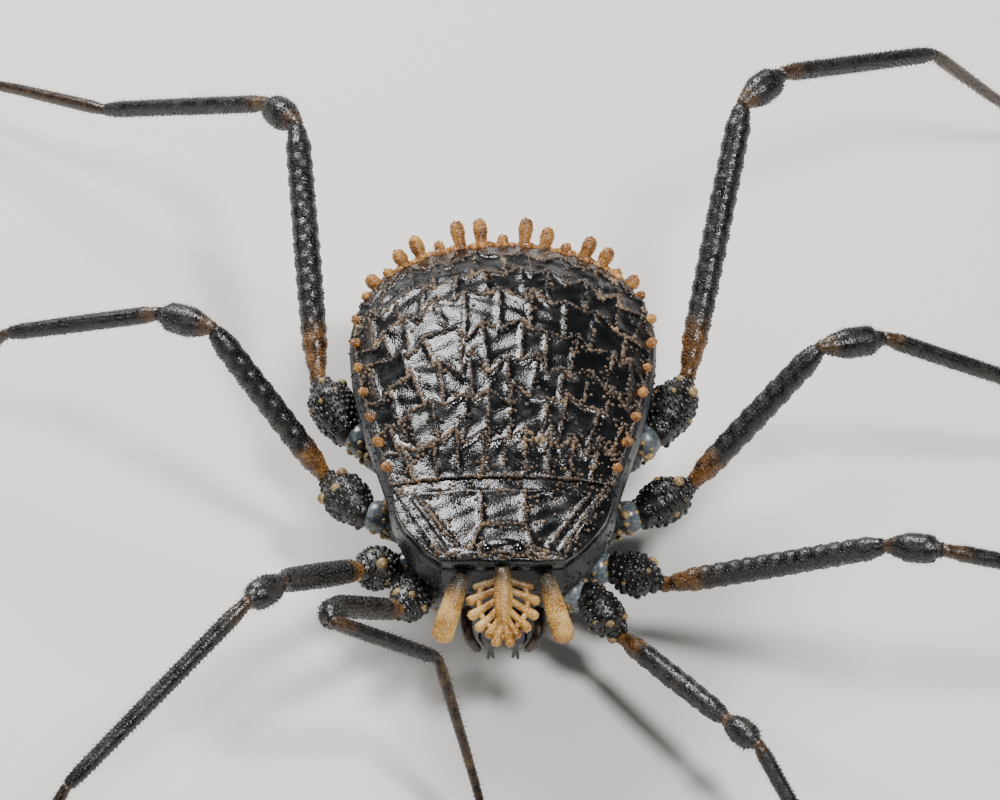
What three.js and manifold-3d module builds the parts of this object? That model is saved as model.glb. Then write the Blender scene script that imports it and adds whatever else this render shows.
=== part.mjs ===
// A harvestman of the lattice-hooded kind, life size, standing on a flat floor.
// Millimetres, +Z up, head towards -Y. The animal's left side is +X.
import * as THREE from "three";
import { mergeVertices } from "three/addons/utils/BufferGeometryUtils.js";
import Module from "manifold-3d";

const wasm = await Module();
wasm.setup();

// Body, seen from above: the shield's groove between carapace and abdomen lies on y = 0.
const SHIELD_WIDTH = 2.14;
const ABDOMEN_LENGTH = 2.46;
const CARAPACE_LENGTH = 0.72;
const GROOVE_HALF_WIDTH = 0.78;
const FRONT_HALF_WIDTH = 0.43;
const WIDEST_Y = 1.58;
const REAR_CORNER_DEG = 32;
// Body, seen from the side. The dome peaks part of the way along the abdomen.
const MARGIN_Z = 1.4;
const EDGE_THICKNESS = 0.07;
const ABDOMEN_DOME = 0.38;
const DOME_PEAK_SHARE = 0.55;
const DOME_SIDE_POWER = 2.5;
const GROOVE_DOME_SHARE = 0.24;
const CARAPACE_FRONT_DOME_SHARE = 0.12;
const FRONT_BOW = 0.03;
const BELLY_Z = 0.56;
// The net of ridges on the shield.
const ABDOMEN_NET_COLUMNS = 10;
const ABDOMEN_NET_ROWS = 8;
const CARAPACE_NET_COLUMNS = 7;
const CARAPACE_NET_ROWS = 3;
const RIDGE_HEIGHT = 0.035;
const RIDGE_SLOPE_SHARE = 0.3;
const NET_JITTER = 0.24;
const NET_ZIGZAG = 0.16;
// The crown of pegs along the shield's margin.
const CROWN_PEGS = 15;
const CROWN_PEG_LENGTH = 0.21;
const CROWN_PEG_RADIUS = 0.047;
const SIDE_PEGS = 8;
const SIDE_PEG_LENGTH = 0.055;
const SIDE_PEG_RADIUS = 0.032;
const PEG_ROOT = 0.05;
const PEG_RISE = 0.75;
// Head.
const EYE_RADIUS = 0.045;
const EYE_OFFSET = 0.114;
const EYE_SETBACK = 0.055;
const EYE_HEIGHT = 0.125;
const EYE_MOUND_RADIUS = 0.07;
const HOOD_TILT_DEG = 28;
const HOOD_ROD_LENGTH = 0.4;
const HOOD_ROD_RADIUS = 0.066;
const HOOD_BRANCHES = 6;
const BRANCH_RADIUS = 0.024;
const BRANCH_KNOB_RADIUS = 0.036;
const BRANCH_DROOP = 0.05;
const HORN_LENGTH = 0.48;
const HORN_RADIUS = 0.075;
const HORN_START = 0.1;
const HORN_ROOT = [0.279, -0.7, 1.36];
const HORN_SPREAD_DEG = 17;
// Play between two pieces that touch.
const GAP = 0.012;
// Facets round a rod, and round a slender one.
const SIDES = 8;
const FEW_SIDES = 6;

const CUTICLE = new THREE.MeshStandardMaterial({ color: 0x17181a, roughness: 0.35, metalness: 0 });
const LEG_CUTICLE = new THREE.MeshStandardMaterial({ color: 0x26241f, roughness: 0.55, metalness: 0 });
const UNDERSIDE = new THREE.MeshStandardMaterial({ color: 0x3b4147, roughness: 0.45, metalness: 0 });
const HOOD_AMBER = new THREE.MeshStandardMaterial({ color: 0xc98d3c, roughness: 0.45, metalness: 0 });
const PALP_AMBER = new THREE.MeshStandardMaterial({ color: 0xa9803f, roughness: 0.5, metalness: 0 });
const LENS = new THREE.MeshStandardMaterial({ color: 0x050506, roughness: 0.08, metalness: 0 });

const rad = THREE.MathUtils.degToRad;
const lerp = THREE.MathUtils.lerp;
const vec = (x, y, z) => new THREE.Vector3(x, y, z);

// A draw between -1 and 1 that depends only on the two numbers given.
function draw(a, b) {
  const t = Math.sin(a * 12.9898 + b * 78.233) * 43758.5453;
  return 2 * (t - Math.floor(t)) - 1;
}

// Closed three.js geometry to a manifold solid, and back.
function solid(geometry) {
  const bare = geometry.clone();
  bare.deleteAttribute("normal");
  bare.deleteAttribute("uv");
  const merged = mergeVertices(bare, 1e-5);
  const index = merged.index.array;
  const triVerts = [];
  for (let i = 0; i < index.length; i += 3) {
    const [a, b, c] = [index[i], index[i + 1], index[i + 2]];
    if (a !== b && b !== c && a !== c) triVerts.push(a, b, c);
  }
  return new wasm.Manifold(
    new wasm.Mesh({
      numProp: 3,
      vertProperties: merged.attributes.position.array,
      triVerts: new Uint32Array(triVerts),
    }),
  );
}

// Joined solids lose their slivers, which are too thin to close safely.
const SLIVER = 0.0005;
function geometryOf(manifold) {
  const mesh = largest(manifold).simplify(SLIVER).getMesh();
  const positions = new Float32Array(mesh.numVert * 3);
  for (let i = 0; i < mesh.numVert; i++) {
    positions.set(mesh.vertProperties.subarray(i * mesh.numProp, i * mesh.numProp + 3), i * 3);
  }
  return new THREE.BufferGeometry()
    .setAttribute("position", new THREE.BufferAttribute(positions, 3))
    .setIndex(new THREE.BufferAttribute(mesh.triVerts, 1));
}

// The largest closed surface, with sealed hollows and loose scraps dropped.
function largest(manifold) {
  return manifold.decompose().reduce((a, b) => (b.volume() > a.volume() ? b : a));
}

const join = (pieces) => pieces.reduce((a, b) => a.add(b));

// A turned rod up the Y axis: a ball at each end, and [share of length, radius] stations between them.
function rodGeometry(length, startBall, endBall, stations, sides = SIDES) {
  const cap = Math.SQRT1_2;
  const profile = [
    new THREE.Vector2(0, -startBall),
    new THREE.Vector2(cap * startBall, -cap * startBall),
    new THREE.Vector2(startBall, 0),
    ...stations.map(([share, radius]) => new THREE.Vector2(radius, share * length)),
    new THREE.Vector2(endBall, length),
    new THREE.Vector2(cap * endBall, length + cap * endBall),
    new THREE.Vector2(0, length + endBall),
  ];
  return new THREE.LatheGeometry(profile, sides);
}

function rodAlong(start, end, startBall, endBall, stations = [], sides = SIDES) {
  const along = end.clone().sub(start);
  const turn = new THREE.Quaternion().setFromUnitVectors(vec(0, 1, 0), along.clone().normalize());
  return rodGeometry(along.length(), startBall, endBall, stations, sides)
    .applyQuaternion(turn)
    .translate(start.x, start.y, start.z);
}

function ball(centre, radius, detail = 1) {
  return new THREE.IcosahedronGeometry(radius, detail).translate(centre.x, centre.y, centre.z);
}

function mesh(name, geometry, material) {
  const made = new THREE.Mesh(geometry, material.clone());
  made.name = name;
  return made;
}

// Outline of the abdomen: half its width at y, up to the rear corner, and the round rear behind that.
function abdomenHalfWidth(y) {
  const widest = SHIELD_WIDTH / 2;
  const rise = Math.sin((Math.PI / 2) * Math.min(y / WIDEST_Y, 1));
  if (y <= WIDEST_Y) return lerp(GROOVE_HALF_WIDTH, widest, rise ** 1.15);
  const reach = (y - WIDEST_Y) / (ABDOMEN_LENGTH - WIDEST_Y);
  return widest * Math.sqrt(Math.max(0, 1 - reach * reach));
}

function rearPoint(angle) {
  return [
    (SHIELD_WIDTH / 2) * Math.cos(angle),
    WIDEST_Y + (ABDOMEN_LENGTH - WIDEST_Y) * Math.sin(angle),
  ];
}

const REAR_CORNER_Y = rearPoint(rad(REAR_CORNER_DEG))[1];

// Carapace outline: straight groove behind, sides that round in to a short front.
function carapaceHalfWidth(y) {
  const share = -y / CARAPACE_LENGTH;
  return lerp(GROOVE_HALF_WIDTH, FRONT_HALF_WIDTH, share ** 2.2);
}

// A four-sided patch filled from its edges. s runs from -1 to 1 across, t from 0 to 1 along.
function patch(front, back, side, s, t) {
  const u = (s + 1) / 2;
  const right = side(t);
  const left = [-right[0], right[1]];
  return [0, 1].map((axis) => {
    const edges = lerp(front(s)[axis], back(s)[axis], t) + lerp(left[axis], right[axis], u);
    const ahead = lerp(front(-1)[axis], front(1)[axis], u);
    const behind = lerp(back(-1)[axis], back(1)[axis], u);
    return edges - lerp(ahead, behind, t);
  });
}

function abdomenPoint(s, t) {
  const [x, y] = patch(
    (across) => [across * GROOVE_HALF_WIDTH, 0],
    (across) => rearPoint(Math.PI / 2 - across * (Math.PI / 2 - rad(REAR_CORNER_DEG))),
    (along) => {
      const sideY = along * REAR_CORNER_Y;
      return [abdomenHalfWidth(sideY), sideY];
    },
    s,
    t,
  );
  const ahead = Math.min(t / DOME_PEAK_SHARE, 1);
  const behind = Math.max((t - DOME_PEAK_SHARE) / (1 - DOME_PEAK_SHARE), 0);
  const rise = lerp(GROOVE_DOME_SHARE, 1, Math.sin((Math.PI / 2) * ahead));
  const fall = Math.max(Math.cos((Math.PI / 2) * behind), 0) ** 0.8;
  const dome = ABDOMEN_DOME * rise * fall * (1 - Math.abs(s) ** DOME_SIDE_POWER);
  return vec(x, y + GAP / 2, MARGIN_Z + EDGE_THICKNESS + dome);
}

function carapacePoint(s, t) {
  const [x, y] = patch(
    (across) => [across * GROOVE_HALF_WIDTH, 0],
    (across) => [across * FRONT_HALF_WIDTH, -CARAPACE_LENGTH - FRONT_BOW * (1 - across * across)],
    (along) => [carapaceHalfWidth(-along * CARAPACE_LENGTH), -along * CARAPACE_LENGTH],
    s,
    t,
  );
  const share = lerp(GROOVE_DOME_SHARE, CARAPACE_FRONT_DOME_SHARE, t);
  const dome = ABDOMEN_DOME * share * (1 - Math.abs(s) ** DOME_SIDE_POWER);
  return vec(x, y - GAP / 2, MARGIN_Z + EDGE_THICKNESS + dome);
}

// Shield plate: a net of six-sided cells laid brick fashion, each ringed by a raised ridge, over a
// flat underside.
function netPlate(point, rows, columns) {
  const across = 2 * columns;
  const onEdge = (k, m) => k === 0 || k === rows || m === 0 || m === across;
  const lattice = (k, m) => {
    const inner = !onEdge(k, m);
    const zigzag = k > 0 && k < rows ? ((k + m) % 2 ? NET_ZIGZAG : -NET_ZIGZAG) : 0;
    const s = (2 * m) / across - 1 + (inner ? (NET_JITTER * draw(k, m) * 2) / columns : 0);
    const t = (k + zigzag + (inner ? NET_JITTER * draw(m, k) : 0)) / rows;
    return [s, t];
  };
  const positions = [];
  const add = (p) => positions.push(p.x, p.y, p.z) / 3 - 1;
  const crest = [];
  for (let k = 0; k <= rows; k++) {
    crest.push([]);
    for (let m = 0; m <= across; m++) {
      const lift = onEdge(k, m) ? 0 : RIDGE_HEIGHT;
      crest[k].push(add(point(...lattice(k, m)).add(vec(0, 0, lift))));
    }
  }
  const faces = [];
  for (let k = 0; k < rows; k++) {
    for (let m = -(k % 2); m < across; m += 2) {
      const [from, to] = [Math.max(m, 0), Math.min(m + 2, across)];
      const ring = [];
      for (let i = from; i <= to; i++) ring.push([k, i]);
      for (let i = to; i >= from; i--) ring.push([k + 1, i]);
      const uv = ring.map(([row, column]) => lattice(row, column));
      const mid = [0, 1].map((axis) => uv.reduce((sum, p) => sum + p[axis], 0) / uv.length);
      const inner = uv.map(([s, t]) =>
        add(point(lerp(s, mid[0], RIDGE_SLOPE_SHARE), lerp(t, mid[1], RIDGE_SLOPE_SHARE))),
      );
      const centre = add(point(...mid));
      ring.forEach(([row, column], i) => {
        const j = (i + 1) % ring.length;
        const [a, b] = [crest[row][column], crest[ring[j][0]][ring[j][1]]];
        faces.push([a, b, inner[j]], [a, inner[j], inner[i]], [inner[i], inner[j], centre]);
      });
    }
  }
  const border = [];
  for (let m = 0; m < across; m++) border.push(crest[0][m]);
  for (let k = 0; k < rows; k++) border.push(crest[k][across]);
  for (let m = across; m > 0; m--) border.push(crest[rows][m]);
  for (let k = rows; k > 0; k--) border.push(crest[k][0]);
  const foot = border.map((i) => add(vec(positions[3 * i], positions[3 * i + 1], MARGIN_Z + GAP / 2)));
  const middle = point(0, 0.5);
  const centre = add(vec(middle.x, middle.y, MARGIN_Z + GAP / 2));
  border.forEach((top, i) => {
    const j = (i + 1) % border.length;
    faces.push([top, foot[j], border[j]], [top, foot[i], foot[j]], [foot[i], centre, foot[j]]);
  });
  return new THREE.BufferGeometry()
    .setAttribute("position", new THREE.BufferAttribute(new Float32Array(positions), 3))
    .setIndex(faces.flat());
}

// A plate whose rows run forward has its faces turned over, so that both plates face out.
function plateSolid(point, rows, columns, flip) {
  const geometry = netPlate(point, rows, columns);
  if (flip) {
    const index = geometry.index.array;
    for (let i = 0; i < index.length; i += 3) [index[i + 1], index[i + 2]] = [index[i + 2], index[i + 1]];
  }
  return solid(geometry);
}

// A peg on the shield's margin, rooted in it and leaning out and up.
function marginPeg(foot, outward, length, radius) {
  const lean = outward.clone().setZ(PEG_RISE).normalize();
  const root = foot.clone().addScaledVector(lean, -PEG_ROOT);
  const tip = foot.clone().addScaledVector(lean, length);
  return solid(rodAlong(root, tip, radius * 0.8, radius, [[0.5, radius * 0.75]], FEW_SIDES));
}

function abdomen() {
  const pieces = [plateSolid(abdomenPoint, ABDOMEN_NET_ROWS, ABDOMEN_NET_COLUMNS, false)];
  for (let i = 0; i < CROWN_PEGS; i++) {
    const s = lerp(-0.98, 0.98, i / (CROWN_PEGS - 1));
    const foot = abdomenPoint(s, 0.985);
    const outward = vec(foot.x, 1.4 * (foot.y - WIDEST_Y), 0).normalize();
    const small = i % 3 === 1 ? 0.55 : 1;
    const length = CROWN_PEG_LENGTH * small * (1 - 0.45 * s * s) * (1 + 0.15 * draw(i, 3));
    pieces.push(marginPeg(foot, outward, length - CROWN_PEG_RADIUS, CROWN_PEG_RADIUS * lerp(1, small, 0.5)));
  }
  for (const side of [-1, 1]) {
    for (let i = 0; i < SIDE_PEGS; i++) {
      const foot = abdomenPoint(side * 0.985, lerp(0.08, 0.93, i / (SIDE_PEGS - 1)));
      const length = SIDE_PEG_LENGTH * (1 + 0.3 * draw(i, side));
      pieces.push(marginPeg(foot, vec(side, 0.15, 0), length - SIDE_PEG_RADIUS, SIDE_PEG_RADIUS));
    }
  }
  return geometryOf(join(pieces));
}

const HOOD_AXIS = vec(0, -Math.cos(rad(HOOD_TILT_DEG)), -Math.sin(rad(HOOD_TILT_DEG)));
const HOOD_ROOT = vec(0, -CARAPACE_LENGTH - 0.035, MARGIN_Z + 0.055);
const eyeCentre = (side) => vec(side * EYE_OFFSET, -CARAPACE_LENGTH + EYE_SETBACK, MARGIN_Z + EYE_HEIGHT);

function carapace() {
  const plate = plateSolid(carapacePoint, CARAPACE_NET_ROWS, CARAPACE_NET_COLUMNS, true);
  const mound = rodAlong(
    vec(-EYE_OFFSET, -CARAPACE_LENGTH + 0.1, MARGIN_Z + EYE_HEIGHT - 0.04),
    vec(EYE_OFFSET, -CARAPACE_LENGTH + 0.1, MARGIN_Z + EYE_HEIGHT - 0.04),
    EYE_MOUND_RADIUS,
    EYE_MOUND_RADIUS,
    [[0.5, EYE_MOUND_RADIUS * 1.15]],
  );
  const sockets = [-1, 1].map((side) => solid(ball(eyeCentre(side), EYE_RADIUS + GAP, 2)));
  return geometryOf(plate.add(solid(mound)).subtract(join(sockets)));
}

// The hood: a stout middle rod with pairs of side branches, whose outer ends a thin rim joins into
// a lattice.
function hood() {
  const along = (distance) => HOOD_ROOT.clone().addScaledVector(HOOD_AXIS, distance);
  const rod = rodAlong(along(0.07), along(HOOD_ROD_LENGTH), 0.06, 0.045, [[0.5, HOOD_ROD_RADIUS]]);
  const pieces = [solid(rod)];
  const tips = [-1, 1].map((side) => {
    const rim = [];
    for (let i = 0; i < HOOD_BRANCHES; i++) {
      const share = i / (HOOD_BRANCHES - 1);
      const root = along(lerp(0.1, HOOD_ROD_LENGTH, share));
      const angle = rad(lerp(84, 18, share ** 1.25));
      const length = lerp(0.15, 0.24, Math.sin(Math.PI * Math.min(1, 0.15 + share)));
      const way = vec(side * Math.sin(angle), 0, 0).addScaledVector(HOOD_AXIS, Math.cos(angle));
      const end = root.clone().addScaledVector(way, length);
      end.z -= BRANCH_DROOP * Math.sin(angle);
      const knobby = i > 0 ? BRANCH_KNOB_RADIUS : BRANCH_RADIUS;
      pieces.push(solid(rodAlong(root, end, BRANCH_RADIUS, knobby, [[0.6, BRANCH_RADIUS]], FEW_SIDES)));
      rim.push(root.clone().lerp(end, 0.78));
    }
    return rim;
  });
  const rim = [...tips[0], ...tips[1].reverse()];
  const rimRadius = 0.8 * BRANCH_RADIUS;
  for (let i = 0; i + 1 < rim.length; i++) {
    pieces.push(solid(rodAlong(rim[i], rim[i + 1], rimRadius, rimRadius, [], FEW_SIDES)));
  }
  return geometryOf(join(pieces));
}

function horn(side) {
  const root = vec(side * HORN_ROOT[0], HORN_ROOT[1], HORN_ROOT[2]);
  const spread = rad(HORN_SPREAD_DEG);
  const way = vec(side * Math.sin(spread), 0, 0).addScaledVector(HOOD_AXIS, Math.cos(spread));
  const start = root.clone().addScaledVector(way, HORN_START);
  const end = root.clone().addScaledVector(way, HORN_LENGTH);
  return rodAlong(start, end, 0.062, HORN_RADIUS, [[0.35, 0.07], [0.75, HORN_RADIUS]]);
}

// Legs. Each pair's segment lengths, and each leg's pose as [turn, rise] in degrees for every segment:
// turn 0 points straight out to the side, 90 straight back and -90 straight ahead; rise is above level.
const LENGTHS = {
  1: { trochanter: 0.4, femur: 1.18, patella: 0.36, tibia: 0.98, metatarsus: 1.15, tarsus: 0.9 },
  2: { trochanter: 0.38, femur: 1.97, patella: 0.45, tibia: 1.75, metatarsus: 1.73, tarsus: 1.4 },
  3: { trochanter: 0.44, femur: 1.4, patella: 0.5, tibia: 1.28, metatarsus: 1.32, tarsus: 0.95 },
  4: { trochanter: 0.5, femur: 2.07, patella: 0.42, tibia: 1.71, metatarsus: 1.49, tarsus: 1.15 },
};
const COXA_BALL = 0.12;
const COXA_RADIUS = 0.165;
const COXA_ROOT_BALL = 0.1;
const COXA_ENDS = {
  1: [0.48, -0.43, 0.84],
  2: [0.67, -0.21, 0.86],
  3: [0.885, 0.25, 0.9],
  4: [1.02, 0.95, 0.97],
};
const COXA_ROOTS = {
  1: [0.16, -0.36, 0.78],
  2: [0.16, -0.16, 0.78],
  3: [0.18, 0.14, 0.8],
  4: [0.24, 0.48, 0.82],
};
const POSE = {
  leg1_l: {
    trochanter: [-44, -30], femur: [-52.4, 7.3], patella: [-53, 8.3],
    tibia: [-63, -15.3], metatarsus: -64, tarsus: -62,
  },
  leg2_l: {
    trochanter: [-17.5, -9], femur: [-23.4, 33.3], patella: [-23.9, 17.3],
    tibia: [6.3, -21.2], metatarsus: 2, tarsus: 0,
  },
  leg3_l: {
    trochanter: [37.7, 3.4], femur: [24.7, 44], patella: [18.1, -7.3],
    tibia: [10.9, -32.1], metatarsus: 17, tarsus: 15,
  },
  leg4_l: {
    trochanter: [63.7, 14.6], femur: [75.7, 35.9], patella: [44.3, 4.2],
    tibia: [40.5, -25], metatarsus: 36, tarsus: 34,
  },
  leg1_r: {
    trochanter: [-67, 25.6], femur: [-58.6, 43.9], patella: [-92.6, 28.8],
    tibia: [161.3, -39.7], metatarsus: -125, tarsus: -105,
  },
  leg2_r: {
    trochanter: [-43.3, 32.4], femur: [-70.8, 42.5], patella: [-57.9, 22.3],
    tibia: [-41.6, -22.7], metatarsus: -42, tarsus: -42,
  },
  leg3_r: {
    trochanter: [52.3, 2.2], femur: [30.1, 48.6], patella: [34.4, -14.2],
    tibia: [16.4, -24], metatarsus: 17, tarsus: 15,
  },
  leg4_r: {
    trochanter: [63.1, 11.9], femur: [84.7, 21.5], patella: [55.8, -14.4],
    tibia: [32.5, -28.2], metatarsus: 38, tarsus: 42,
  },
};
// Radii of the balls at a segment's ends and of its stations, as shares of each pair's girth.
const GIRTH = { 1: 0.86, 2: 0.94, 3: 1, 4: 1.05 };
const FORMS = {
  trochanter: { start: 0.115, end: 0.085, stations: [[0.25, 0.155], [0.7, 0.158], [0.92, 0.12]] },
  femur: { start: 0.055, end: 0.062, stations: [[0.05, 0.066], [0.14, 0.086], [0.5, 0.09], [0.95, 0.086]] },
  patella: { start: 0.05, end: 0.06, stations: [[0.15, 0.075], [0.45, 0.108], [0.85, 0.104]] },
  tibia: { start: 0.048, end: 0.048, stations: [[0.08, 0.06], [0.5, 0.06], [0.93, 0.056]] },
};
const KNOB_SEAT = 0.133;
const KNOB_RADIUS = 0.034;
const KNOBS = 6;
const METATARSUS_RADIUS = 0.048;
const TARSUS_RADIUS = 0.036;
const SOLE_SHARE = 0.35;
const TARSUS_DROP_SHARE = 0.6;
const SOLE_Z = 0.026;
const HEEL_RADIUS = 0.03;
const TOE_RADIUS = 0.022;

function heading(side, [turn, rise]) {
  const [a, b] = [rad(turn), rad(rise)];
  return vec(side * Math.cos(a) * Math.cos(b), Math.sin(a) * Math.cos(b), Math.sin(b));
}

// How far past a joint the next ball's centre lies, so that it clears the ball before it by the gap.
function jointOffset(before, after, ballBefore, ballAfter) {
  const along = ballBefore * before.dot(after);
  const reach = ballBefore + ballAfter + GAP;
  return -along + Math.sqrt(along * along + reach * reach - ballBefore * ballBefore);
}

function legMeshes(name) {
  const pair = Number(name[3]);
  const side = name.endsWith("_l") ? 1 : -1;
  const girth = GIRTH[pair];
  const pose = POSE[name];
  const made = [];
  const [cx, cy, cz] = COXA_ENDS[pair];
  const coxaEnd = vec(side * cx, cy, cz);
  const [rx, ry, rz] = COXA_ROOTS[pair];
  let before = coxaEnd.clone().sub(vec(side * rx, ry, rz)).normalize();
  let ballBefore = COXA_BALL;
  // The joint is the far pole of the ball before it.
  let joint = coxaEnd.clone().addScaledVector(before, ballBefore);
  for (const segment of ["trochanter", "femur", "patella", "tibia"]) {
    const form = FORMS[segment];
    const after = heading(side, pose[segment]);
    const [startBall, endBall] = [form.start * girth, form.end * girth];
    const offset = jointOffset(before, after, ballBefore, startBall);
    const start = joint.clone().addScaledVector(after, offset);
    const length = LENGTHS[pair][segment] - offset - endBall;
    const end = start.clone().addScaledVector(after, length);
    const stations = form.stations.map(([share, radius]) => [share, radius * girth]);
    let geometry = rodAlong(start, end, startBall, endBall, stations);
    if (segment === "trochanter") geometry = knobbed(geometry, start, end, KNOB_SEAT * girth, pair * side);
    made.push(mesh(`${name}_${segment}`, geometry, LEG_CUTICLE));
    joint = end.clone().addScaledVector(after, endBall);
    [before, ballBefore] = [after, endBall];
  }
  made.push(mesh(`${name}_foot`, foot(joint, before, ballBefore, side, pair, pose), LEG_CUTICLE));
  return made;
}

// Trochanters carry a few blunt tubercles.
function knobbed(geometry, start, end, radius, seed) {
  const along = end.clone().sub(start).normalize();
  const across = vec(-along.y, along.x, 0).normalize();
  const up = across.clone().cross(along);
  const pieces = [solid(geometry)];
  for (let i = 0; i < KNOBS; i++) {
    const angle = (i / KNOBS) * 2 * Math.PI + 0.4 * draw(i, seed);
    const out = across.clone().multiplyScalar(Math.cos(angle)).addScaledVector(up, Math.sin(angle));
    const at = start.clone().lerp(end, 0.35 + 0.4 * (i % 2)).addScaledVector(out, radius);
    pieces.push(solid(ball(at, KNOB_RADIUS, 0)));
  }
  return geometryOf(join(pieces));
}

// Metatarsus and tarsus in one: down to the floor, then along it on a small flat sole.
function foot(joint, before, ballBefore, side, pair, pose) {
  const girth = GIRTH[pair];
  const { metatarsus, tarsus } = LENGTHS[pair];
  const level = heading(side, [pose.tarsus, 0]);
  const sole = tarsus * SOLE_SHARE;
  const slope = tarsus - sole;
  const drop = TARSUS_DROP_SHARE * slope;
  const fall = THREE.MathUtils.radToDeg(Math.asin((joint.z - SOLE_Z - drop) / metatarsus));
  const down = heading(side, [pose.metatarsus, -fall]);
  const startBall = 0.038 * girth;
  const offset = jointOffset(before, down, ballBefore, startBall);
  const start = joint.clone().addScaledVector(down, offset);
  const ankle = joint.clone().addScaledVector(down, metatarsus);
  const heel = ankle.clone().addScaledVector(level, Math.sqrt(slope * slope - drop * drop)).setZ(SOLE_Z);
  const toe = heel.clone().addScaledVector(level, sole);
  const pieces = [
    rodAlong(start, ankle, startBall, TARSUS_RADIUS * girth, [[0.08, METATARSUS_RADIUS * girth]], FEW_SIDES),
    rodAlong(ankle, heel, TARSUS_RADIUS * girth, HEEL_RADIUS, [], FEW_SIDES),
    rodAlong(heel, toe, HEEL_RADIUS, TOE_RADIUS, [], FEW_SIDES),
  ].map(solid);
  const floor = new THREE.BoxGeometry(20, 20, 1).translate(0, 0, -0.5);
  return geometryOf(join(pieces).subtract(solid(floor)));
}

// The underside: belly, side walls and the eight fixed coxae that fan out from the breast.
function underside() {
  const levels = [
    [MARGIN_Z - GAP / 2, 0.985],
    [1.3, 1.0],
    [1.18, 0.985],
    [1.06, 0.93],
    [0.9, 0.82],
    [0.74, 0.66],
    [0.63, 0.48],
    [BELLY_Z, 0.25],
  ];
  const around = 28;
  const outline = [];
  for (let i = 0; i < around; i++) outline.push(bodyOutline(i / around));
  const centreY = 0.62;
  const positions = [];
  for (const [z, scale] of levels) {
    for (const [x, y] of outline) positions.push(x * scale, centreY + (y - centreY) * scale, z);
  }
  positions.push(0, centreY, MARGIN_Z - GAP / 2, 0, centreY, BELLY_Z);
  const [topCentre, bottomCentre] = [levels.length * around, levels.length * around + 1];
  const faces = [];
  for (let i = 0; i < around; i++) {
    const j = (i + 1) % around;
    for (let k = 0; k + 1 < levels.length; k++) {
      const [a, b, c, d] = [k * around + i, k * around + j, (k + 1) * around + i, (k + 1) * around + j];
      faces.push([a, b, c], [b, d, c]);
    }
    const last = (levels.length - 1) * around;
    faces.push([topCentre, j, i], [bottomCentre, last + i, last + j]);
  }
  const body = new THREE.BufferGeometry()
    .setAttribute("position", new THREE.BufferAttribute(new Float32Array(positions), 3))
    .setIndex(faces.flat());
  const pieces = [solid(body)];
  for (const pair of [1, 2, 3, 4]) {
    for (const side of [-1, 1]) {
      const [rx, ry, rz] = COXA_ROOTS[pair];
      const [ex, ey, ez] = COXA_ENDS[pair];
      const [root, end] = [vec(side * rx, ry, rz), vec(side * ex, ey, ez)];
      pieces.push(solid(rodAlong(root, end, COXA_ROOT_BALL, COXA_BALL, [[0.55, COXA_RADIUS]])));
    }
  }
  return geometryOf(join(pieces));
}

// The whole shield's outline, once round from the middle of the rear by way of the left side.
function bodyOutline(share) {
  const turn = share * 2 * Math.PI;
  const forward = (1 - Math.cos(turn)) / 2;
  const y = lerp(ABDOMEN_LENGTH, -CARAPACE_LENGTH, forward);
  const half = y > 0 ? abdomenHalfWidth(y) : carapaceHalfWidth(y);
  const atFrontMiddle = share === 0.5;
  return [atFrontMiddle ? 0 : Math.sign(Math.sin(turn)) * half, y];
}

// Chelicera: a short base and a hanging second joint that ends in a small pincer.
function chelicera(side) {
  const root = vec(side * 0.1, -0.77, 0.98);
  const elbow = vec(side * 0.11, -0.94, 1.03);
  const wrist = vec(side * 0.09, -0.97, 0.86);
  const pieces = [
    rodAlong(root, elbow, 0.055, 0.07),
    rodAlong(elbow, wrist, 0.07, 0.04, [[0.45, 0.078]]),
    rodAlong(wrist, vec(side * 0.07, -0.97, 0.75), 0.022, 0.012, [], FEW_SIDES),
    rodAlong(wrist, vec(side * 0.105, -0.99, 0.76), 0.022, 0.012, [], FEW_SIDES),
  ].map(solid);
  return geometryOf(join(pieces));
}

// Pedipalp: slender and bent, hanging just under the hood. Each stop is its place and its radius.
function palp(side) {
  const route = [
    [0.25, -0.76, 0.98, 0.045],
    [0.262, -0.92, 1.03, 0.042],
    [0.238, -1.0, 0.96, 0.038],
    [0.183, -0.99, 0.86, 0.03],
  ];
  const pieces = [];
  for (let i = 0; i + 1 < route.length; i++) {
    const [[ax, ay, az, from], [bx, by, bz, to]] = [route[i], route[i + 1]];
    const rod = rodAlong(vec(side * ax, ay, az), vec(side * bx, by, bz), from, to, [], FEW_SIDES);
    pieces.push(solid(rod));
  }
  return geometryOf(join(pieces));
}

const animal = new THREE.Group();
animal.add(
  mesh("abdomen", abdomen(), CUTICLE),
  mesh("carapace", carapace(), CUTICLE),
  mesh("underside", underside(), UNDERSIDE),
  mesh("hood", hood(), HOOD_AMBER),
);
for (const [name, side] of [["l", 1], ["r", -1]]) {
  animal.add(
    mesh(`horn_${name}`, horn(side), HOOD_AMBER),
    mesh(`eye_${name}`, ball(eyeCentre(side), EYE_RADIUS, 2), LENS),
    mesh(`chelicera_${name}`, chelicera(side), CUTICLE),
    mesh(`palp_${name}`, palp(side), PALP_AMBER),
  );
}
for (const name of Object.keys(POSE)) animal.add(...legMeshes(name));

// The origin is on the floor, under the middle of the whole stance.
const stance = new THREE.Box3().setFromObject(animal);
const middle = stance.getCenter(new THREE.Vector3());
animal.position.set(-middle.x, -middle.y, 0);
const part = new THREE.Group();
part.add(animal);

export default part;
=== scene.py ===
# A lattice-hooded harvestman, life size, as a studio portrait seen from the front and above.
import math

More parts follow.
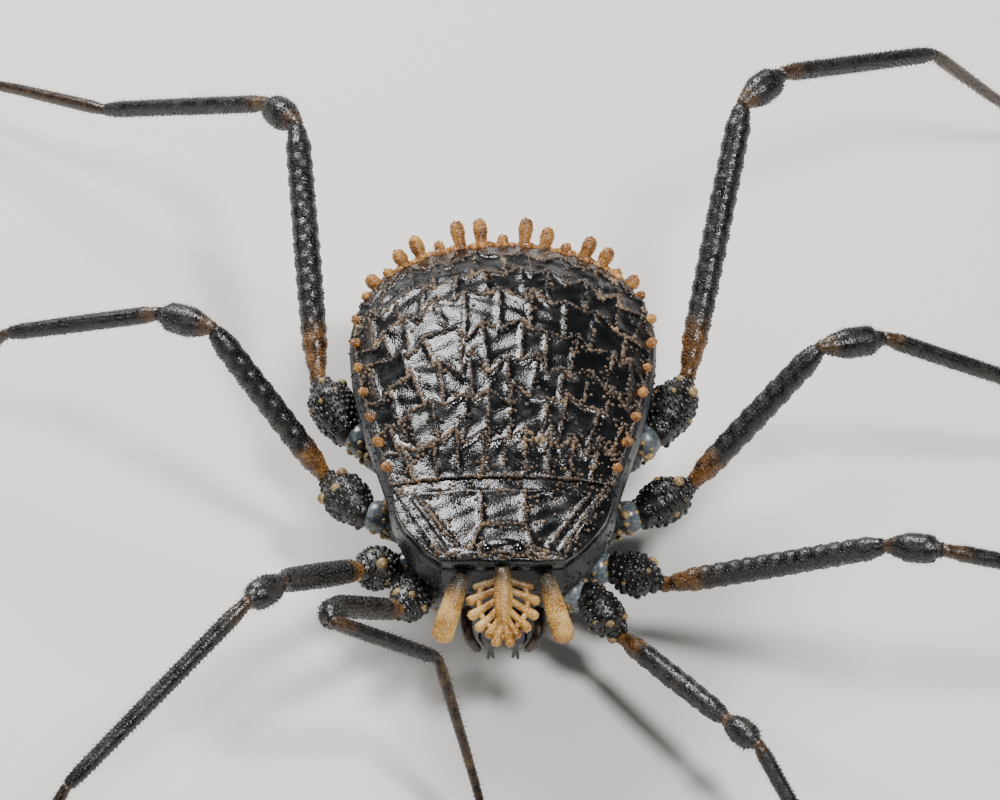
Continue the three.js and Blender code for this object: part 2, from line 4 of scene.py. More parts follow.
import bmesh
import bpy
import numpy as np
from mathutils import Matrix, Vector


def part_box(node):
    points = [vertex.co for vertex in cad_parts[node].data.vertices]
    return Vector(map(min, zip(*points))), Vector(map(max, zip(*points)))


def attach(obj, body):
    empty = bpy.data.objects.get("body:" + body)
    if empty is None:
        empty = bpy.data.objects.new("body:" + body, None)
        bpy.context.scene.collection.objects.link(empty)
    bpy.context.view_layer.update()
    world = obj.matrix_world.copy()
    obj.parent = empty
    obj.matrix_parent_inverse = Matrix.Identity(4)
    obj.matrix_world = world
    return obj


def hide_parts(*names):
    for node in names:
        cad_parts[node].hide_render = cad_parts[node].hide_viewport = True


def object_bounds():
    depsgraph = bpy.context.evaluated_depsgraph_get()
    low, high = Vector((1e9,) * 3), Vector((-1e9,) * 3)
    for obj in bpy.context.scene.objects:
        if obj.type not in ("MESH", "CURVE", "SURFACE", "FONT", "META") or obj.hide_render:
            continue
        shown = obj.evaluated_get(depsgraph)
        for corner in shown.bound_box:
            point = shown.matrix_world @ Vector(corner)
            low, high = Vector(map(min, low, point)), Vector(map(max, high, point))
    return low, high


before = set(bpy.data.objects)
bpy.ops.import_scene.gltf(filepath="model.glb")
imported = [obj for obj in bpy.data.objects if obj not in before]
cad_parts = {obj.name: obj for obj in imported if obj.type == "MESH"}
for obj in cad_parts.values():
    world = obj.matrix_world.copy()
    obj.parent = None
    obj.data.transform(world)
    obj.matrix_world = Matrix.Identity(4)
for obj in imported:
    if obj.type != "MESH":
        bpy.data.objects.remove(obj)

cad_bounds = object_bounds()

# The shield: carapace and abdomen, two hard domed plates of black granular cuticle that meet along
# a straight groove. Low ridges, beaded with small brown tubercles, divide them into a net of cells.
MM = 0.001
SHIELD_WIDTH = 2.14
ABDOMEN_LENGTH = 2.46
CARAPACE_LENGTH = 0.72
GROOVE_HALF_WIDTH = 0.78
FRONT_HALF_WIDTH = 0.43
WIDEST_Y = 1.58
FLARE_POWER = 1.15
TAPER_POWER = 2.2
REAR_CORNER = math.radians(32)
MARGIN_Z = 1.4
EDGE_THICKNESS = 0.07
ABDOMEN_DOME = 0.38
DOME_PEAK_SHARE = 0.55
DOME_FALL_POWER = 0.8
DOME_SIDE_POWER = 2.5
GROOVE_DOME_SHARE = 0.24
CARAPACE_FRONT_DOME_SHARE = 0.12
FRONT_BOW = 0.03
GAP = 0.012
EYE_OFFSET = 0.114
EYE_SETBACK = 0.055
EYE_HEIGHT = 0.125

# Both eyes sit at known places on the animal, so their boxes tell where it stands.
eyes = [np.array(corner) for name in ("eye_l", "eye_r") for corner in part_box(name)]
ORIGIN = np.mean(eyes, axis=0) / MM - (0, -CARAPACE_LENGTH + EYE_SETBACK, MARGIN_Z + EYE_HEIGHT)
ORIGIN[2] = 0
# No hair or papilla reaches past the solid animal's own outermost points.
OUTERMOST = np.array([list(corner) for corner in cad_bounds])


def linear(colour):
    """An sRGB hex colour as linear RGBA."""
    values = [int(colour[i : i + 2], 16) / 255 for i in (1, 3, 5)]
    return [c / 12.92 if c <= 0.04045 else ((c + 0.055) / 1.055) ** 2.4 for c in values] + [1.0]


def node(tree, kind, settings=None, stops=(), **inputs):
    """A new shader node with its settings, its values or links, and any colour stops."""
    made = tree.nodes.new("ShaderNode" + kind)
    for key, value in (settings or {}).items():
        setattr(made, key, value)
    for key, value in inputs.items():
        socket = made.inputs[int(key[1:]) if key[1:].isdigit() else key.replace("_", " ")]
        if isinstance(value, bpy.types.NodeSocket):
            tree.links.new(value, socket)
        else:
            socket.default_value = value
    if stops:
        elements = made.color_ramp.elements
        while len(elements) < len(stops):
            elements.new(0.5)
        for element, (position, colour) in zip(elements, stops):
            element.position = position
            element.color = linear(colour)
    return made


def cuticle(
    name,
    grain_mm,
    grain_depth_mm,
    shades,
    roughness,
    blotch_mm=0.12,
    body=0.0,
    tinted=(),
    specular=0.5,
):
    """Hardened arthropod skin: grains of one real size, with blotches that change shade and gloss.

    Where a mesh has a tint it takes the tinted shades, and a body lets light a little way in.
    """
    material = bpy.data.materials.new(name)
    material.use_nodes = True
    tree = material.node_tree
    shader = tree.nodes["Principled BSDF"]
    place = node(tree, "TexCoord").outputs["Object"]
    grains = node(tree, "TexVoronoi", Vector=place, Scale=1 / (grain_mm * MM), Randomness=0.85)
    blotches = node(tree, "TexNoise", Vector=place, Scale=1 / (blotch_mm * MM), Detail=4.0)
    grain, blotch = grains.outputs["Distance"], blotches.outputs["Fac"]
    mixed = node(tree, "Math", {"operation": "MULTIPLY_ADD"}, i0=grain, i1=-0.5, i2=blotch).outputs[0]
    colour = node(tree, "ValToRGB", stops=shades, Fac=mixed).outputs["Color"]
    if tinted:
        tint = node(tree, "Attribute", {"attribute_name": "tint"}).outputs["Fac"]
        other = node(tree, "ValToRGB", stops=tinted, Fac=mixed).outputs["Color"]
        colour = node(tree, "Mix", {"data_type": "RGBA"}, i0=tint, i6=colour, i7=other).outputs[2]
    tree.links.new(colour, shader.inputs["Base Color"])
    smooth, rough = roughness
    gloss = node(tree, "MapRange", Value=blotch, From_Min=0.35, From_Max=0.65, To_Min=smooth, To_Max=rough)
    tree.links.new(gloss.outputs[0], shader.inputs["Roughness"])
    bump = node(tree, "Bump", {"invert": True}, Height=grain, Distance=grain_depth_mm * MM, Strength=1.0)
    tree.links.new(bump.outputs["Normal"], shader.inputs["Normal"])
    shader.inputs["IOR"].default_value = 1.56
    shader.inputs["Specular IOR Level"].default_value = specular
    if body:
        shader.inputs["Subsurface Weight"].default_value = body
        shader.inputs["Subsurface Scale"].default_value = 0.05 * MM
        shader.inputs["Subsurface Radius"].default_value = (1.0, 0.6, 0.3)
    return material


def mesh_object(name, vertices, triangles, material, tint=None):
    """A smooth mesh object from points in the animal's millimetres and triangles."""
    mesh = bpy.data.meshes.new(name)
    points = np.clip((np.asarray(vertices, dtype=float) + ORIGIN) * MM, *OUTERMOST)
    triangles = np.asarray(triangles, dtype=np.int32)
    mesh.vertices.add(len(points))
    mesh.vertices.foreach_set("co", points.astype(np.float32).ravel())
    mesh.loops.add(triangles.size)
    mesh.loops.foreach_set("vertex_index", triangles.ravel())
    mesh.polygons.add(len(triangles))
    mesh.polygons.foreach_set("loop_start", np.arange(0, triangles.size, 3, dtype=np.int32))
    mesh.polygons.foreach_set("use_smooth", np.ones(len(triangles), dtype=bool))
    if tint is not None:
        mesh.attributes.new("tint", "FLOAT", "POINT").data.foreach_set("value", tint.astype(np.float32))
    mesh.update(calc_edges=True)
    mesh.validate()
    mesh.materials.append(material)
    made = bpy.data.objects.new(name, mesh)
    bpy.context.scene.collection.objects.link(made)
    return made


def fit(made, nodes):
    """The piece rides with the animal and stands for these nodes, which it hides."""
    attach(made, "root")
    if nodes:
        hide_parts(*nodes)
    return made


def draw(a, b):
    """Between -1 and 1, the same every time for the same two numbers."""
    t = np.sin(np.asarray(a) * 12.9898 + np.asarray(b) * 78.233) * 43758.5453
    return 2 * (t - np.floor(t)) - 1


def lerp(a, b, t):
    return a + (b - a) * t


def ease(start, end, value):
    """From 0 at start to 1 at end, smoothly."""
    t = np.clip((np.asarray(value) - start) / (end - start), 0, 1)
    return t * t * (3 - 2 * t)


def rear_point(angle):
    half, reach = SHIELD_WIDTH / 2, ABDOMEN_LENGTH - WIDEST_Y
    return np.stack([half * np.cos(angle), WIDEST_Y + reach * np.sin(angle)])


REAR_CORNER_Y = rear_point(REAR_CORNER)[1]


def abdomen_half_width(y):
    rise = np.sin(math.pi / 2 * np.clip(y / WIDEST_Y, 0, 1))
    reach = np.clip((y - WIDEST_Y) / (ABDOMEN_LENGTH - WIDEST_Y), 0, 1)
    ahead = lerp(GROOVE_HALF_WIDTH, SHIELD_WIDTH / 2, rise**FLARE_POWER)
    return np.where(y <= WIDEST_Y, ahead, SHIELD_WIDTH / 2 * np.sqrt(1 - reach**2))


def carapace_half_width(y):
    share = np.clip(-np.asarray(y) / CARAPACE_LENGTH, 0, 1)
    return lerp(GROOVE_HALF_WIDTH, FRONT_HALF_WIDTH, share**TAPER_POWER)


def patch(front, back, side, s, t):
    """A four-sided patch filled from its edges; s from -1 to 1 across, t from 0 to 1 along."""
    u = (s + 1) / 2
    right = side(t)
    left = np.stack([-right[0], right[1]])
    one = np.ones_like(s)
    edges = (1 - t) * front(s) + t * back(s) + (1 - u) * left + u * right
    ahead = (1 - u) * front(-one) + u * front(one)
    behind = (1 - u) * back(-one) + u * back(one)
    return edges - (1 - t) * ahead - t * behind


def groove_edge(across):
    return np.stack([across * GROOVE_HALF_WIDTH, 0 * across])


def abdomen_point(s, t):
    """Places on the abdomen: t is 0 at the groove and 1 at the rear margin."""
    s, t = np.asarray(s, dtype=float), np.asarray(t, dtype=float)

    def rear_edge(across):
        return rear_point(math.pi / 2 - across * (math.pi / 2 - REAR_CORNER))

    def side_edge(along):
        y = along * REAR_CORNER_Y
        return np.stack([abdomen_half_width(y), y])

    x, y = patch(groove_edge, rear_edge, side_edge, s, t)
    rise = lerp(GROOVE_DOME_SHARE, 1, np.sin(math.pi / 2 * np.minimum(t / DOME_PEAK_SHARE, 1)))
    past_peak = np.clip((t - DOME_PEAK_SHARE) / (1 - DOME_PEAK_SHARE), 0, 1)
    fall = np.where(t > DOME_PEAK_SHARE, np.cos(math.pi / 2 * past_peak) ** DOME_FALL_POWER, 1)
    dome = ABDOMEN_DOME * rise * fall * (1 - np.abs(s) ** DOME_SIDE_POWER)
    return np.stack([x, y + GAP / 2, MARGIN_Z + EDGE_THICKNESS + dome], axis=-1)


def carapace_point(s, t):
    """Places on the carapace: t is 0 at the groove and 1 at the front margin."""
    s, t = np.asarray(s, dtype=float), np.asarray(t, dtype=float)

    def front_edge(across):
        return np.stack([across * FRONT_HALF_WIDTH, -CARAPACE_LENGTH - FRONT_BOW * (1 - across**2)])

    def side_edge(along):
        return np.stack([carapace_half_width(-along * CARAPACE_LENGTH), -along * CARAPACE_LENGTH])

    x, y = patch(groove_edge, front_edge, side_edge, s, t)
    height = ABDOMEN_DOME * lerp(GROOVE_DOME_SHARE, CARAPACE_FRONT_DOME_SHARE, t)
    dome = height * (1 - np.abs(s) ** DOME_SIDE_POWER)
    return np.stack([x, y - GAP / 2, MARGIN_Z + EDGE_THICKNESS + dome], axis=-1)


ABDOMEN_NET = (8, 10)
NET_JITTER = 0.24
NET_ZIGZAG = 0.16
RIDGE_HEIGHT = 0.011
RIDGE_WIDTH = 0.026
# Rows of tubercles on the carapace, each from one place to another on its left half and mirrored.
CARAPACE_ROWS = [
    ((0.0, -0.13), (0.72, -0.12)),
    ((0.15, -0.13), (0.15, -0.44)),
    ((0.0, -0.44), (0.15, -0.44)),
    ((0.15, -0.44), (0.23, -0.66)),
    ((0.72, -0.06), (0.4, -0.66)),
    ((0.62, -0.12), (0.33, -0.62)),
    ((0.76, -0.03), (0.44, -0.68)),
    ((0.0, -0.69), (0.42, -0.7)),
    ((0.23, -0.66), (0.41, -0.69)),
]


def net_lines(point, rows, columns):
    """The ridges of the net as pairs of points on the plate."""
    across = 2 * columns

    def lattice(k, m):
        edge = k in (0, rows) or m in (0, across)
        zigzag = (NET_ZIGZAG if (k + m) % 2 else -NET_ZIGZAG) if 0 < k < rows else 0
        s = 2 * m / across - 1 + (0 if edge else NET_JITTER * float(draw(k, m)) * 2 / columns)
        t = (k + zigzag + (0 if edge else NET_JITTER * float(draw(m, k)))) / rows
        return s, t

    pairs = []
    for k in range(rows + 1):
        for m in range(across + 1):
            if m < across:
                pairs.append((lattice(k, m), lattice(k, m + 1)))
            if k < rows and m % 2 == k % 2:
                pairs.append((lattice(k, m), lattice(k + 1, m)))
    ends = np.array(pairs)
    return point(ends[:, 0, 0], ends[:, 0, 1]), point(ends[:, 1, 0], ends[:, 1, 1])


def carapace_lines(point):
    """The carapace's rows as pairs of points on the plate."""
    s, t = np.meshgrid(np.linspace(-1, 1, 161), np.linspace(0, 1, 81))
    skin = point(s.ravel(), t.ravel())

    def lifted(side, x, y):
        return skin[np.argmin(np.hypot(skin[:, 0] - side * x, skin[:, 1] - y))]

    starts = [lifted(side, *a) for a, _ in CARAPACE_ROWS for side in (-1, 1)]
    ends = [lifted(side, *b) for _, b in CARAPACE_ROWS for side in (-1, 1)]
    return np.array(starts), np.array(ends)


def near_lines(points, starts, ends):
    """Distance from each point to the nearest of these lines, seen from above."""
    nearest = np.full(len(points), np.inf)
    for a, b in zip(starts[:, :2], ends[:, :2]):
        along = b - a
        share = np.clip(((points[:, :2] - a) @ along) / (along @ along), 0, 1)
        gap = points[:, :2] - a - share[:, None] * along
        nearest = np.minimum(nearest, np.hypot(gap[:, 0], gap[:, 1]))
    return nearest


SURFACE_STEP = 0.0095
FLOOR_WAVE = 0.006
WAVE_ACROSS = 0.047
WAVE_ALONG = 0.041
WAVE_BEND = 2.1
WAVE_BEND_LENGTH = 0.11


def grid_triangles(rows, columns, flip):
    """Triangles of a grid of points, rows by columns, stored row by row."""
    index = np.arange(rows * columns).reshape(rows, columns)
    a, b = index[:-1, :-1].ravel(), index[:-1, 1:].ravel()
    c, d = index[1:, :-1].ravel(), index[1:, 1:].ravel()
    triangles = np.concatenate([np.stack([a, b, d], 1), np.stack([a, d, c], 1)])
    return triangles[:, ::-1] if flip else triangles


def plate(point, starts, ends, length, flip):
    """A plate's fine skin: the dome, its ridges, and a closed rim and underside."""
    rows, columns = round(length / SURFACE_STEP), round(SHIELD_WIDTH / SURFACE_STEP)
    t, s = np.meshgrid(np.linspace(0, 1, rows), np.linspace(-1, 1, columns), indexing="ij")
    top = point(s.ravel(), t.ravel())
    distance = near_lines(top, starts, ends)
    bend = WAVE_BEND * np.sin(top[:, 1] / WAVE_BEND_LENGTH)
    wave = np.sin(top[:, 0] / WAVE_ACROSS + bend) * np.sin(top[:, 1] / WAVE_ALONG)
    top[:, 2] += FLOOR_WAVE * wave + RIDGE_HEIGHT * np.exp(-((distance / RIDGE_WIDTH) ** 2))
    faces = grid_triangles(rows, columns, flip)
    index = np.arange(rows * columns).reshape(rows, columns)
    border = np.concatenate([index[0, :-1], index[:-1, -1], index[-1, :0:-1], index[:0:-1, 0]])
    foot = top[border].copy()
    foot[:, 2] = MARGIN_Z + GAP / 2
    middle = foot.mean(axis=0, keepdims=True)
    below = len(top) + np.arange(len(border))
    following, below_following = np.roll(border, -1), np.roll(below, -1)
    centre = np.full(len(border), len(top) + len(border))
    rim = np.concatenate(
        [
            np.stack([border, below, below_following], 1),
            np.stack([border, below_following, following], 1),
            np.stack([below, centre, below_following], 1),
        ]
    )
    faces = np.concatenate([faces, rim[:, ::-1] if flip else rim])
    return np.concatenate([top, foot, middle]), faces


def bead_shape(detail):
    """The points and triangles of a ball of radius one."""
    shape = bmesh.new()
    bmesh.ops.create_icosphere(shape, subdivisions=detail, radius=1)
    points = np.array([v.co[:] for v in shape.verts])
    triangles = np.array([[v.index for v in face.verts] for face in shape.faces])
    shape.free()
    return points, triangles


BEAD_PLAIN = bead_shape(1)
BEAD_FINE = bead_shape(2)
BALL = bead_shape(4)


def beads(centres, radii, shape=BEAD_FINE):
    """Many small balls as one set of points and triangles."""
    points, triangles = shape
    centres = np.asarray(centres, dtype=float)
    radii = np.broadcast_to(np.asarray(radii, dtype=float), len(centres))
    every = centres[:, None, :] + radii[:, None, None] * points[None]
    offsets = (np.arange(len(centres)) * len(points))[:, None, None]
    return every.reshape(-1, 3), (triangles[None] + offsets).reshape(-1, 3)


def merged(*parts):
    """Several sets of points and triangles as one."""
    points, triangles, count = [], [], 0
    for these, faces in parts:
        points.append(these)
        triangles.append(np.asarray(faces) + count)
        count += len(these)
    return np.concatenate(points), np.concatenate(triangles)


TUBERCLE_RADIUS = 0.013
TUBERCLE_SPREAD = 0.5
TUBERCLE_SPACING = 0.0233
TUBERCLE_JITTER = 0.32
LOOSE_TUBERCLES = 3600
LOOSE_SEED = 5
RIDGE_REACH = 0.04
GROOVE_REACH = 0.3
FRONT_REACH = 0.07
RIDGE_CROWD = 0.5
ENDS_CROWD = 0.4
BARE_REAR_Y = (1.9, 2.2)
BARE_SHARE = 0.8


def along_lines(starts, ends, spacing, lift, seed):
    """Places for tubercles along ridges, each a little off its line."""
    places = []
    for i, (a, b) in enumerate(zip(starts, ends)):
        count = max(1, round(np.linalg.norm(b - a) / spacing))
        for j in range(count):
            spot = lerp(a, b, (j + 0.5) / count)
            spot = spot + TUBERCLE_JITTER * spacing * np.array([draw(i, j + seed), draw(j, i + seed), 0])
            places.append(spot + (0, 0, lift))
    return np.array(places)


def loose(point, count, starts, ends, seed):
    """Places for tubercles strewn over a plate, thickest at its ridges, the groove and the front."""
    index = np.arange(count)
    s, t = 0.98 * draw(index, seed), 0.5 + 0.49 * draw(seed, index)
    places = point(s, t)
    chance = 0.5 + 0.5 * draw(index, seed + 7)
    near = np.exp(-((near_lines(places, starts, ends) / RIDGE_REACH) ** 2))
    y = places[:, 1]
    near_ends = np.exp(-np.abs(y) / GROOVE_REACH) + np.exp(-np.abs(y + CARAPACE_LENGTH) / FRONT_REACH)
    crowd = (RIDGE_CROWD * near + ENDS_CROWD * near_ends) * (1 - BARE_SHARE * ease(*BARE_REAR_Y, y))
    return places[chance < crowd]


# Thick black cuticle, finely granular: almost no colour of its own, and a polished gloss that the
# grains break up into small glints.
black_cuticle = cuticle(
    "black_granular_cuticle",
    grain_mm=0.014,
    grain_depth_mm=0.0022,
    shades=[(0.0, "#020203"), (0.35, "#070809"), (0.6, "#121316")],
    roughness=(0.14, 0.3),
    specular=0.6,
)
# Brown cuticle on the tubercles, mottled from dark to tan and half matt, so that their rows stand
# out from the black plates.
tubercle_cuticle = cuticle(
    "brown_tubercle_cuticle",
    grain_mm=0.01,
    grain_depth_mm=0.003,
    shades=[(0.1, "#140D08"), (0.33, "#4C392A"), (0.58, "#A88C66")],
    roughness=(0.25, 0.45),
    blotch_mm=0.16,
)

EYE_MOUND_RADIUS = 0.07
EYE_MOUND_SIZE = (EYE_OFFSET + EYE_MOUND_RADIUS, EYE_MOUND_RADIUS * 1.15, EYE_MOUND_RADIUS * 1.05)
EYE_MOUND_CENTRE = (0, -CARAPACE_LENGTH + 0.1, MARGIN_Z + EYE_HEIGHT - 0.04)
plates = {
    "abdomen": (abdomen_point, net_lines(abdomen_point, *ABDOMEN_NET), ABDOMEN_LENGTH, False, 7),
    "carapace": (carapace_point, carapace_lines(carapace_point), CARAPACE_LENGTH, True, 8),
}
for name, (point, (starts, ends), length, flip, seed) in plates.items():
    points, faces = plate(point, starts, ends, length, flip)
    if name == "carapace":
        mound = BEAD_FINE[0] * EYE_MOUND_SIZE + EYE_MOUND_CENTRE
        points, faces = merged((points, faces), (mound, BEAD_FINE[1]))
    fit(mesh_object(name + "_plate", points, faces, black_cuticle), [name])
    rows = along_lines(starts, ends, TUBERCLE_SPACING, RIDGE_HEIGHT, seed)
    count = round(LOOSE_TUBERCLES * length / ABDOMEN_LENGTH)
    strewn = loose(point, count, starts, ends, LOOSE_SEED)
    for coat, places, shape in (("_tubercles", rows, BEAD_FINE), ("_grains", strewn, BEAD_PLAIN)):
        radii = TUBERCLE_RADIUS * (1 + TUBERCLE_SPREAD * draw(places[:, 0], places[:, 1]))
        fit(mesh_object(name + coat, *beads(places, radii, shape), tubercle_cuticle), [])

# The crown: amber pegs of unequal height on the rear margin, with low ones down the sides. Each is
# a blunt rod of clear brown cuticle, grown from the margin and set all over with fine papillae.
CROWN_PEGS = 15
CROWN_PEG_LENGTH = 0.21
CROWN_LENGTH_SHARE = 0.92
CROWN_PEG_RADIUS = 0.047
CROWN_SPAN = 0.98
MARGIN_SHARE = 0.985
SMALL_PEG_SHARE = 0.55
SHORTER_AT_SIDES = 0.45
SIDE_PEGS = 8
SIDE_PEG_LENGTH = 0.055
SIDE_PEG_RADIUS = 0.032
SIDE_PEG_SPAN = (0.08, 0.93)
PEG_LIFT = 0.75
PEG_ROOT = 0.05
PEG_WAIST = 0.85
PEG_HEAD = 1.12
PEG_FAN = 1.4
PEG_UNEVENNESS = 0.15
SIDE_PEG_SWEEP = 0.15
SIDE_PEG_TIP = 0.03
SIDE_PEG_UNEVENNESS = 0.3
CROWN_BUMPS = 80
CROWN_BUMP_RADIUS = 0.03
CROWN_BUMP_SPREAD = 0.4
CROWN_BUMP_SCATTER = 0.013
BALL_RINGS = 6
RING_DEPTH = 0.055
PAPILLA_SPREAD = 0.4
PAPILLA_JITTER = 0.3


def unit(v):
    return v / np.linalg.norm(v)


def ring_triangles(rings, around):
    """Triangles of a skin through closed rings of points, stored ring by ring."""
    index = np.arange(rings * around).reshape(rings, around)
    a, b = index[:-1], np.roll(index[:-1], -1, axis=1)
    c, d = index[1:], np.roll(index[1:], -1, axis=1)
    halves = [np.stack([a, b, d], -1), np.stack([a, d, c], -1)]
    return np.concatenate([half.reshape(-1, 3) for half in halves])


def tube(route, stations, ball_start, ball_end, sides=24, step=0.02, rounds=3, rings=0):
    """A limb swept along a route: stations are (share of length, radius), with a ball at each end."""
    path = np.array(route, dtype=float)
    for _ in range(rounds if len(path) > 2 else 0):
        cuts = [lerp(path[:-1], path[1:], share) for share in (0.25, 0.75)]
        path = np.concatenate([path[:1], np.stack(cuts, 1).reshape(-1, 3), path[-1:]])
    lengths = np.concatenate([[0], np.cumsum(np.linalg.norm(np.diff(path, axis=0), axis=1))])
    shares = np.linspace(0, 1, max(6, round(lengths[-1] / step)))
    spine = np.stack([np.interp(shares * lengths[-1], lengths, path[:, i]) for i in range(3)], axis=1)
    marks = [(0, ball_start), *stations, (1, ball_end)]
    at, girth = np.array([m[0] for m in marks]), np.array([m[1] for m in marks])
    stretch = np.clip(np.searchsorted(at, shares, side="right") - 1, 0, len(at) - 2)
    local = (shares - at[stretch]) / (at[stretch + 1] - at[stretch])
    eased = local * local * (3 - 2 * local)
    radii = lerp(girth[stretch], girth[stretch + 1], 0.5 * (local + eased))
    radii = radii * (1 + RING_DEPTH * (rings > 0) * np.cos(2 * math.pi * rings * shares))
    caps = np.linspace(0, math.pi / 2, BALL_RINGS + 1)[1:]
    first, last = unit(spine[1] - spine[0]), unit(spine[-1] - spine[-2])
    head = [(spine[0] - first * ball_start * math.sin(a), ball_start * math.cos(a)) for a in caps[::-1]]
    tail = [(spine[-1] + last * ball_end * math.sin(a), ball_end * math.cos(a)) for a in caps]
    centres = np.array([c for c, _ in head] + list(spine) + [c for c, _ in tail])
    radii = np.array([r for _, r in head] + list(radii) + [r for _, r in tail])
    tangents = np.gradient(centres, axis=0)
    tangents /= np.linalg.norm(tangents, axis=1)[:, None]
    off_every_limb = (0.3, 0.2, 1.0)
    side = unit(np.cross(tangents[0], off_every_limb))
    frames = []
    for tangent in tangents:
        side = unit(side - tangent * (side @ tangent))
        frames.append((side, np.cross(tangent, side)))
    angles = np.arange(sides) / sides * 2 * math.pi
    skin = np.array(
        [
            c + r * (np.cos(angles)[:, None] * u + np.sin(angles)[:, None] * v)
            for c, r, (u, v) in zip(centres, np.maximum(radii, 1e-5), frames)
        ]
    )
    mesh = (skin.reshape(-1, 3), ring_triangles(len(centres), sides))
    return {"mesh": mesh, "centres": centres, "radii": radii, "frames": frames}


def winding(limb, spacing, from_share=0.0):
    """Places in a winding row all over a limb, with the ways outward and onward from each."""
    centres, radii, frames = limb["centres"], limb["radii"], limb["frames"]
    places, outward, onward = [], [], []
    lengths = np.concatenate([[0], np.cumsum(np.linalg.norm(np.diff(centres, axis=0), axis=1))])
    turn, at = 0.0, from_share * lengths[-1]
    while at < lengths[-1]:
        i = min(np.searchsorted(lengths, at, side="right") - 1, len(centres) - 2)
        local = (at - lengths[i]) / max(1e-9, lengths[i + 1] - lengths[i])
        r = lerp(radii[i], radii[i + 1], local)
        u, v = frames[i]
        out = math.cos(turn) * u + math.sin(turn) * v
        places.append(lerp(centres[i], centres[i + 1], local) + r * out)
        outward.append(out)
        onward.append(np.cross(u, v))
        turn += spacing / max(r, spacing / 3)
        at += spacing * spacing / (2 * math.pi * max(r, spacing / 3))
    return np.array(places), np.array(outward), np.array(onward)


def papillae(limb, spacing, radius, from_share=0.0, sink=0.3, shape=BEAD_PLAIN, seed=0):
    """Fine round papillae of unequal size all over a limb."""
    places, outward, onward = winding(limb, spacing, from_share)
    index = np.arange(len(places))
    radii = radius * (1 + PAPILLA_SPREAD * draw(index, seed))
    shift = PAPILLA_JITTER * spacing * draw(seed, index)
    places = places + shift[:, None] * onward - (sink * radii)[:, None] * outward
    return beads(places, radii, shape)


# Clear amber cuticle: light goes a little way in and warms the pegs, and their papillae glint.
crown_cuticle = cuticle(
    "amber_peg_cuticle",
    grain_mm=0.011,
    grain_depth_mm=0.003,
    shades=[(0.0, "#4A260C"), (0.3, "#A56A2A"), (0.55, "#DDA95C")],
    roughness=(0.25, 0.42),
    blotch_mm=0.09,
    body=0.35,
)


def margin_peg(foot, outward, length, radius, seed):
    way = unit(np.array([outward[0], outward[1], PEG_LIFT]))
    stations = [(0.45, radius * PEG_WAIST), (0.85, radius * PEG_HEAD)]
    route = [foot - PEG_ROOT * way, foot + length * way]
    limb = tube(route, stations, radius * PEG_WAIST, radius, sides=16)
    return merged(limb["mesh"], papillae(limb, spacing=0.017, radius=0.0075, seed=seed))


pegs = []
for i in range(CROWN_PEGS):
    s = lerp(-CROWN_SPAN, CROWN_SPAN, i / (CROWN_PEGS - 1))
    foot = abdomen_point(s, MARGIN_SHARE)
    outward = unit(np.array([foot[0], PEG_FAN * (foot[1] - WIDEST_Y), 0]))
    small = SMALL_PEG_SHARE if i % 3 == 1 else 1
    uneven = 1 + PEG_UNEVENNESS * float(draw(i, 3))
    length = CROWN_LENGTH_SHARE * CROWN_PEG_LENGTH * small * (1 - SHORTER_AT_SIDES * s * s) * uneven
    radius = CROWN_PEG_RADIUS * lerp(1, small, 0.5)
    pegs.append(margin_peg(foot, outward, length - CROWN_PEG_RADIUS, radius, i))
for side in (-1, 1):
    outward = unit(np.array([side, SIDE_PEG_SWEEP, 0]))
    for i in range(SIDE_PEGS):
        foot = abdomen_point(side * MARGIN_SHARE, lerp(*SIDE_PEG_SPAN, i / (SIDE_PEGS - 1)))
        length = SIDE_PEG_LENGTH * (1 + SIDE_PEG_UNEVENNESS * float(draw(i, side)))
        pegs.append(margin_peg(foot, outward, length - SIDE_PEG_TIP, SIDE_PEG_RADIUS, i))
index = np.arange(CROWN_BUMPS)
across = CROWN_SPAN * lerp(-1, 1, index / (CROWN_BUMPS - 1))
bumps = abdomen_point(across, MARGIN_SHARE + CROWN_BUMP_SCATTER * draw(index, 2))
pegs.append(beads(bumps, CROWN_BUMP_RADIUS * (1 + CROWN_BUMP_SPREAD * draw(index, 4))))
fit(mesh_object("crown_pegs", *merged(*pegs), crown_cuticle), [])

# The hood and the two horns beside it: golden rods set with papillae, which grow from the front
# margin and reach over the mouthparts. A thin rim ties the hood's branches into a lattice.
HOOD_TILT = math.radians(28)
HOOD_AXIS = np.array([0, -math.cos(HOOD_TILT), -math.sin(HOOD_TILT)])
ACROSS = np.array([1, 0, 0])
HOOD_ROOT = np.array([0, -CARAPACE_LENGTH - 0.035, MARGIN_Z + 0.055])
HOOD_ROD_START = 0.07
HOOD_ROD_LENGTH = 0.4
HOOD_ROD_RADIUS = 0.066
HOOD_ROD_ENDS = (0.06, 0.045)
HOOD_BRANCHES = 6
BRANCH_START = 0.1
BRANCH_LENGTHS = (0.15, 0.24)
BRANCH_LENGTH_LEAD = 0.15
BRANCH_ANGLES = (84, 18)
BRANCH_ANGLE_POWER = 1.25
BRANCH_DROOP = 0.05
BRANCH_RADIUS = 0.024
BRANCH_KNOB_RADIUS = 0.036
RIM_SHARE = 0.78
RIM_RADIUS = BRANCH_RADIUS * 0.8
HOOD_DARK = 0.9
HOOD_DARK_REACH = (0.05, 0.3)
HORN_ROOT = (0.279, -0.7, 1.36)
HORN_SPREAD = math.radians(17)
HORN_START = 0.1
HORN_LENGTH = 0.48
HORN_RADIUS = 0.075
HORN_ROOT_RADIUS = 0.062
HORN_DARK_REACH = (0.1, 0.32)

